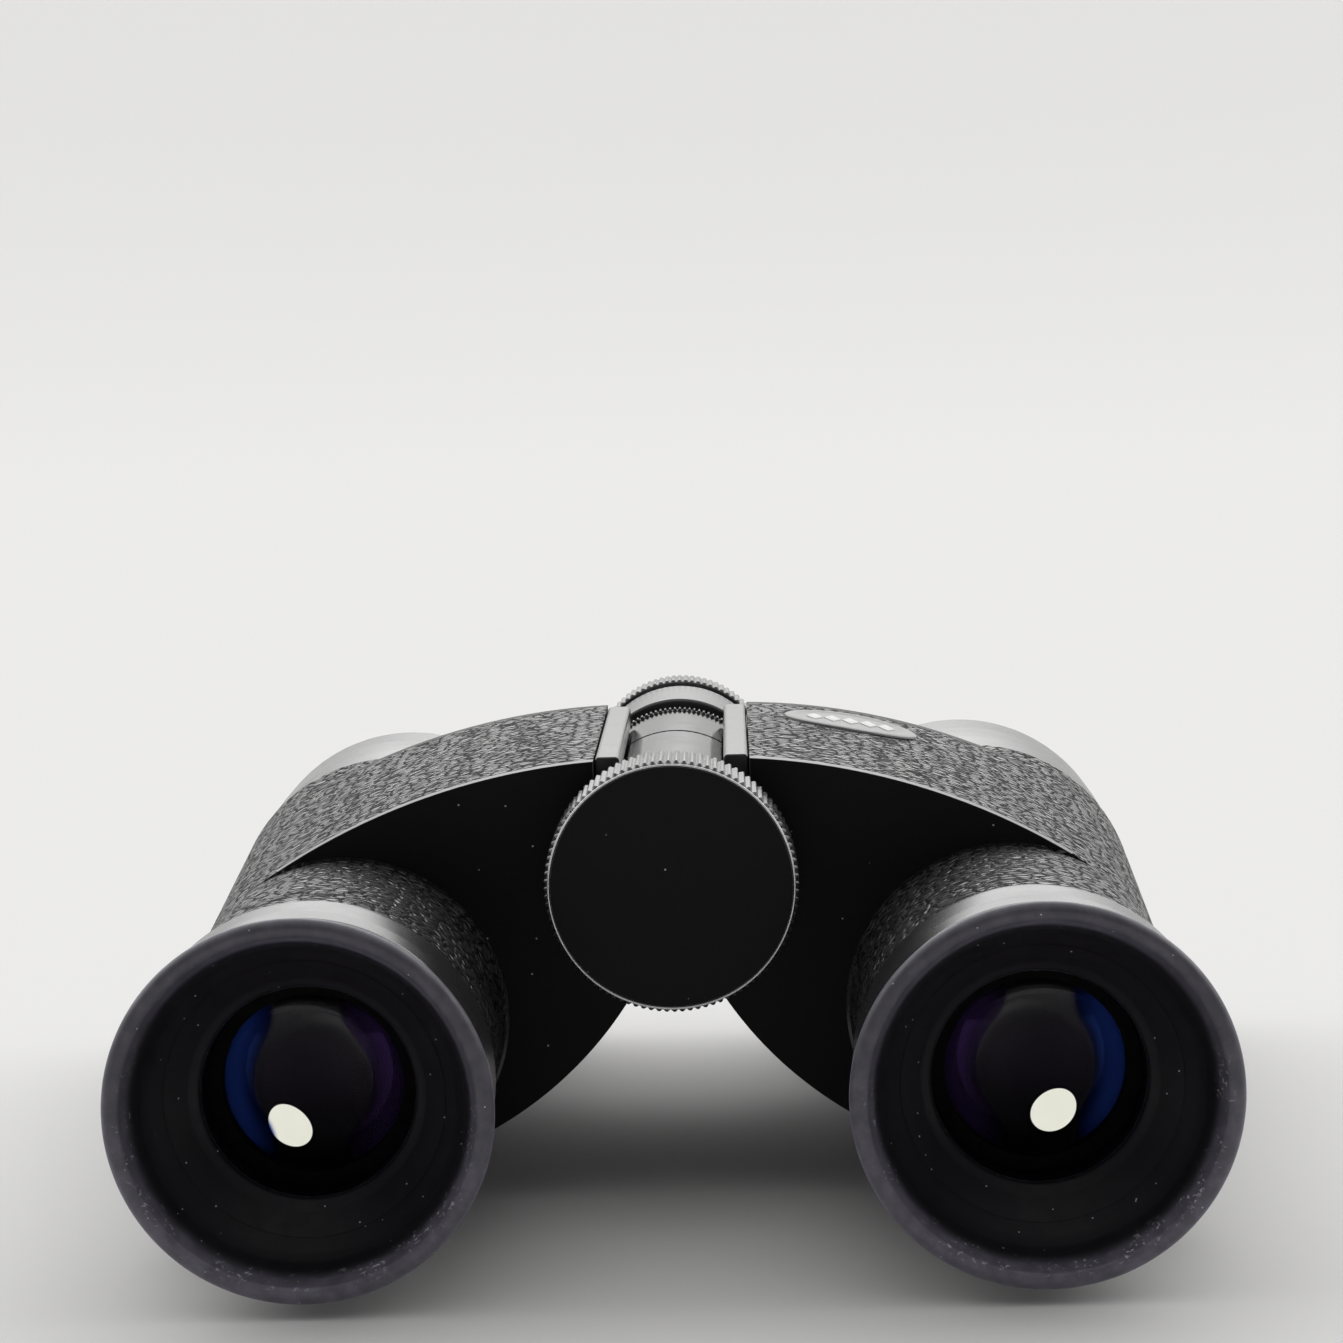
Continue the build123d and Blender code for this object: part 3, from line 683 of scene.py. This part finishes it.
def lens_outline(start, end, radius, front, back):
    """Outline of a lens whose faces stand out by front and back at their centres."""
    steps = 24

    def sag(bulge, r):
        curvature = (radius**2 + bulge**2) / (2 * abs(bulge))
        depth = math.sqrt(curvature**2 - r**2) - (curvature - abs(bulge))
        return math.copysign(depth, bulge)
    reach = [radius * i / steps for i in range(steps + 1)]
    outline = [(start - sag(front, r), r) for r in reach]
    return outline + [(end + sag(back, r), r) for r in reversed(reach)]


def glass(side, part, front, back):
    """A lens with true spherical faces in place of the CAD one."""
    node = f"{side}_{part}"
    start, end, radius = span(node)
    outline = lens_outline(start + front, end - back, radius, front, back)
    settle(turned(f"{side}_{part}_glass", outline, BARREL[side], 128), node)


def prism_window(side):
    """Baffle behind the eyepiece with a glowing disc in its opening, painted light that the eyepiece images
    as its exit pupil.
    """
    opening, tall, outer, start, end = 1.72, 1.2, 12.8, 37.0, 37.6
    rim = [(start, opening), (start, outer), (end, outer), (end, opening)]
    baffle = turned(f"{side}_prism_baffle", rounded(rim, 0.1), BARREL[side], 96)
    inset = start + 0.2
    disc = [(inset, 0), (inset, opening), (end, opening), (end, 0)]
    light = turned(f"{side}_prism_window", disc, BARREL[side], 96)
    for piece, material in ((baffle, BAFFLE), (light, EXIT_PUPIL_GLOW)):
        for vertex in piece.data.vertices:
            above = vertex.co.z - BARREL[side][1]
            if math.hypot(vertex.co.x - BARREL[side][0], above) < 2 * opening * MM:
                vertex.co.z += (tall - 1) * above
        piece.data.materials.append(material)
        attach(piece, BODY_OF[f"{side}_prism_cage"])


for side in SIDES:
    eyecup(side)
    ocular_ring(side)
    objective_bell(side)
    glass(side, "eye_lens", 1.9, 1.9)
    glass(side, "field_lens", 1.2, 1.2)
    glass(side, "objective_crown", 1.9, 1.8)
    prism_window(side)
    settle(bevelled(f"{side}_rear_plate", f"{side}_ocular_plate", 0.42), f"{side}_rear_plate")
    settle(bevelled(f"{side}_front_plate", f"{side}_objective_plate", 0.42), f"{side}_front_plate")
    settle(bevelled(f"{side}_flank_rail", f"{side}_rail", 0.22), f"{side}_flank_rail")
    settle(bevelled(f"{side}_leather", f"{side}_covering", 0.3), f"{side}_leather")
    settle(bevelled(f"{side}_strap_lug", f"{side}_strap_eye", 0.3), f"{side}_strap_lug")


# ---------------------------------------------------------------- pieces on the hinge axis
CAP_EDGE = 11.45
AXLE_BORE = 6.45
FOCUS_BORE, DIOPTRE_BORE = 2.55, 2.05


def focus_wheel():
    """Knurled wheel with a recess for its cap and a bright line turned round the recess."""
    start, end, radius = span("focus_wheel")
    recess, edge = 1.0, 0.4
    outline = [(start + recess, FOCUS_BORE), (start + recess, CAP_EDGE), (start, CAP_EDGE),
               (start, radius - edge), (start + edge, radius), (end - edge, radius), (end, radius - edge),
               (end, FOCUS_BORE)]
    piece = turned("focus_knob", rounded(outline, 0.06, 3), HINGE, 1000, ridges(100, 0.26, radius))
    settle(piece, "focus_wheel")
    bead, middle, steps = 0.11, CAP_EDGE + 0.03, 12
    outline = [(start + bead * math.sin(a), middle + bead * math.cos(a))
               for a in (2 * math.pi * step / steps for step in range(steps))]
    line = turned("focus_knob_bright_line", outline, HINGE, 256)
    line.data.materials.append(MATERIALS["plain_steel"])
    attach(line, BODY_OF["focus_wheel"])


def focus_cap():
    """Black disc that closes the wheel, with a fine bevel and a faint dish."""
    start, end, _ = span("focus_wheel_cap")
    side_radius = CAP_EDGE - 0.03
    outline = [(start + 0.12, 0), (start + 0.1, 5.0), (start + 0.03, 9.5), (start, CAP_EDGE - 0.2),
               (start + 0.1, side_radius), (end, side_radius), (end, 0)]
    settle(turned("focus_knob_cap", rounded(outline, 0.06, 3), HINGE, 256), "focus_wheel_cap")


def dioptre_wheel():
    """Smaller knurled wheel at the objective end of the hinge."""
    start, end, radius = span("dioptre_wheel")
    edge = 0.35
    outline = [(start, DIOPTRE_BORE), (start, radius - edge), (start + edge, radius), (end - edge, radius),
               (end, radius - edge), (end, DIOPTRE_BORE)]
    piece = turned("dioptre_knob", rounded(outline, 0.12, 3), HINGE, 880, ridges(88, 0.22, radius))
    settle(piece, "dioptre_wheel")


def serrated_washer():
    """Washer with fine serrations, standing a little proud of the knuckles."""
    proud, edge, teeth, tooth_depth = 0.12, 0.1, 110, 0.3
    start, end, radius = span("hinge_washer")
    radius += proud
    outline = [(start, AXLE_BORE), (start, radius - edge), (start + edge, radius), (end, radius),
               (end, AXLE_BORE)]
    limit = ridges(teeth, tooth_depth, radius)
    settle(turned("hinge_washer_ring", rounded(outline, 0.06, 2), HINGE, 1100, limit), "hinge_washer")


def seam_shade_ring():
    """Thin dead-black ring at the seam between the two knuckles: painted shade that shows as the dark seam
    line.
    """
    seam, before, after, depth, proud = 63.5, 0.1, 0.15, 0.3, 0.02
    washer_overhang = 0.18
    knuckle = span("hinge_washer")[2] - washer_overhang
    start, end = seam - before, seam + after
    outline = [(start, knuckle - depth), (start, knuckle + proud), (end, knuckle + proud),
               (end, knuckle - depth)]
    seam_shade = turned("hinge_friction_shim", rounded(outline, 0.03, 2), HINGE, 192)
    # painted shade: the dead-black baffle finish stands for the shade in the seam
    seam_shade.data.materials.append(BAFFLE)
    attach(seam_shade, BODY_OF["hinge_washer"])


def lock_nut():
    """Waisted nut between the washer and the dioptre collar."""
    waist = 0.7
    start, end, radius = span("hinge_nut")
    outline = [(start, AXLE_BORE), (start, radius - waist), (end, radius - waist), (end, AXLE_BORE)]
    settle(turned("hinge_lock_nut", rounded(outline, 0.2), HINGE), "hinge_nut")


def dioptre_drum():
    """Stepped collar that the dioptre wheel turns against."""
    proud, edge, taper, step = 0.35, 0.25, 1.7, 0.8
    start, end, radius = span("dioptre_collar")
    radius += proud
    outline = [(start, AXLE_BORE), (start, radius - edge), (start + edge, radius), (end - taper, radius),
               (end, radius - step), (end, AXLE_BORE)]
    settle(turned("dioptre_drum", rounded(outline, 0.12), HINGE), "dioptre_collar")


def badge():
    """Blank oval plate with a raised rim and a row of small lozenges."""
    node = "badge"
    low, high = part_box(node)
    centre = (low + high) / 2
    half_x, half_y = (high.x - low.x) / 2, (high.y - low.y) / 2
    surface = BVHTree.FromObject(frame["nodes"][node], bpy.context.evaluated_depsgraph_get())

    def top(x, y):
        """Height of the plate's upper face; points at its very edge take the height just inside."""
        inward, above_all = 0.97, 0.1
        x, y = centre.x + (x - centre.x) * inward, centre.y + (y - centre.y) * inward
        return surface.ray_cast(Vector((x, y, above_all)), Vector((0, 0, -1)))[0].z

    sunk = -0.12
    steps = [(0.25, sunk), (0.5, sunk), (0.70, sunk), (0.80, sunk), (0.84, -0.03), (0.87, 0.0), (0.93, 0.0),
             (0.96, -0.03), (0.985, -0.1), (0.985, -0.28)]
    spokes = 96
    verts = [(centre.x, centre.y, top(centre.x, centre.y) + sunk * MM)]
    for share, height in steps:
        for spoke in range(spokes):
            angle = 2 * math.pi * spoke / spokes
            x = centre.x + half_x * share * math.cos(angle)
            y = centre.y + half_y * share * math.sin(angle)
            verts.append((x, y, top(x, y) + height * MM))
    faces = fan(spokes)
    for ring in range(len(steps) - 1):
        faces += strip(1 + ring * spokes, 1 + (ring + 1) * spokes, spokes)
    last = 1 + (len(steps) - 1) * spokes
    faces.append([last + s for s in range(spokes)])
    plain_faces = len(faces)

    spacing, half_wide, half_long = 1.9, 0.9, 1.9
    corners = ((-half_wide, 0), (0, -half_long), (half_wide, 0), (0, half_long))
    for place in (-2, -1, 0, 1, 2):
        x0, first = centre.x + place * spacing * MM, len(verts)
        for share, height in ((1.0, -0.2), (1.0, -0.04), (0.72, 0.06)):
            for dx, dy in corners:
                x, y = x0 + dx * share * MM, centre.y + dy * share * MM
                verts.append((x, y, top(x, y) + height * MM))
        for row in (first, first + 4):
            faces += [(row + s, row + (s + 1) % 4, row + 4 + (s + 1) % 4, row + 4 + s) for s in range(4)]
        faces += [[first + 8 + s for s in range(4)], [first + s for s in (3, 2, 1, 0)]]
    plate = settle(new_piece("badge_plate", verts, faces, 30), node)
    plate.data.materials.append(BADGE_RELIEF)
    for polygon in plate.data.polygons:
        polygon.material_index = int(polygon.index >= plain_faces)


focus_wheel()
focus_cap()
dioptre_wheel()
serrated_washer()
seam_shade_ring()
lock_nut()
dioptre_drum()
badge()
add_camera()
add_surroundings()
add_floor()
bpy.context.scene.view_settings.view_transform = "Standard"
